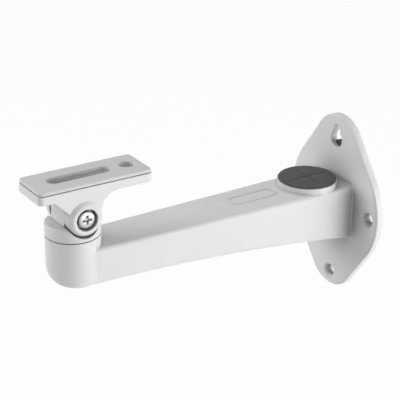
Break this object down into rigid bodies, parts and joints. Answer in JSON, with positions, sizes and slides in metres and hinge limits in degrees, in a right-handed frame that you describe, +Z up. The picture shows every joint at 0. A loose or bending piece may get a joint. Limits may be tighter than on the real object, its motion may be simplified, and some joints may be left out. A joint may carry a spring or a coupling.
{
  "type": "camera wall bracket",
  "caption": "Wall bracket for a camera: kite-shaped wall plate, hollow tapered arm with a cable grommet, swivel base and a slotted platform that tilts.",
  "frame": {"origin": "centre of the wall plate's back face, midway between its two side holes", "axes": "+Y into the wall, the arm runs out along -Y, +Z up, +X towards the side with the tilt screw's head"},
  "size_m": [0.109, 0.2748, 0.148],
  "materials": {
    "white_paint": "satin powder coat",
    "black_rubber": "matt",
    "grey_pad": "matt",
    "bright_steel": "bright zinc plating",
    "black_nylon": "matt"
  },
  "bodies": {
    "arm": {"arm_casting": "white_paint", "cable_grommet": "black_rubber", "wall_gasket": "black_rubber", "pan_friction_washer": "black_nylon"},
    "swivel": {"swivel_base": "white_paint", "pan_screw": "bright_steel", "pan_spring_washer": "bright_steel", "pan_washer": "bright_steel"},
    "head": {"platform": "white_paint", "platform_pad": "grey_pad", "tilt_screw": "bright_steel", "tilt_washer": "bright_steel", "tilt_spring_washer": "bright_steel", "tilt_nut": "bright_steel", "tilt_friction_washers": "black_nylon"}
  },
  "joints": [
    {"name": "pan", "type": "hinge", "parent": "arm", "child": "swivel", "pos_m": [0, -0.242, 0.0302], "axis": [0, 0, 1], "continuous": true},
    {"name": "tilt", "type": "hinge", "parent": "swivel", "child": "head", "pos_m": [0, -0.2404, 0.04685], "axis": [1, 0, 0], "range_deg": [-35, 45]}
  ]
}
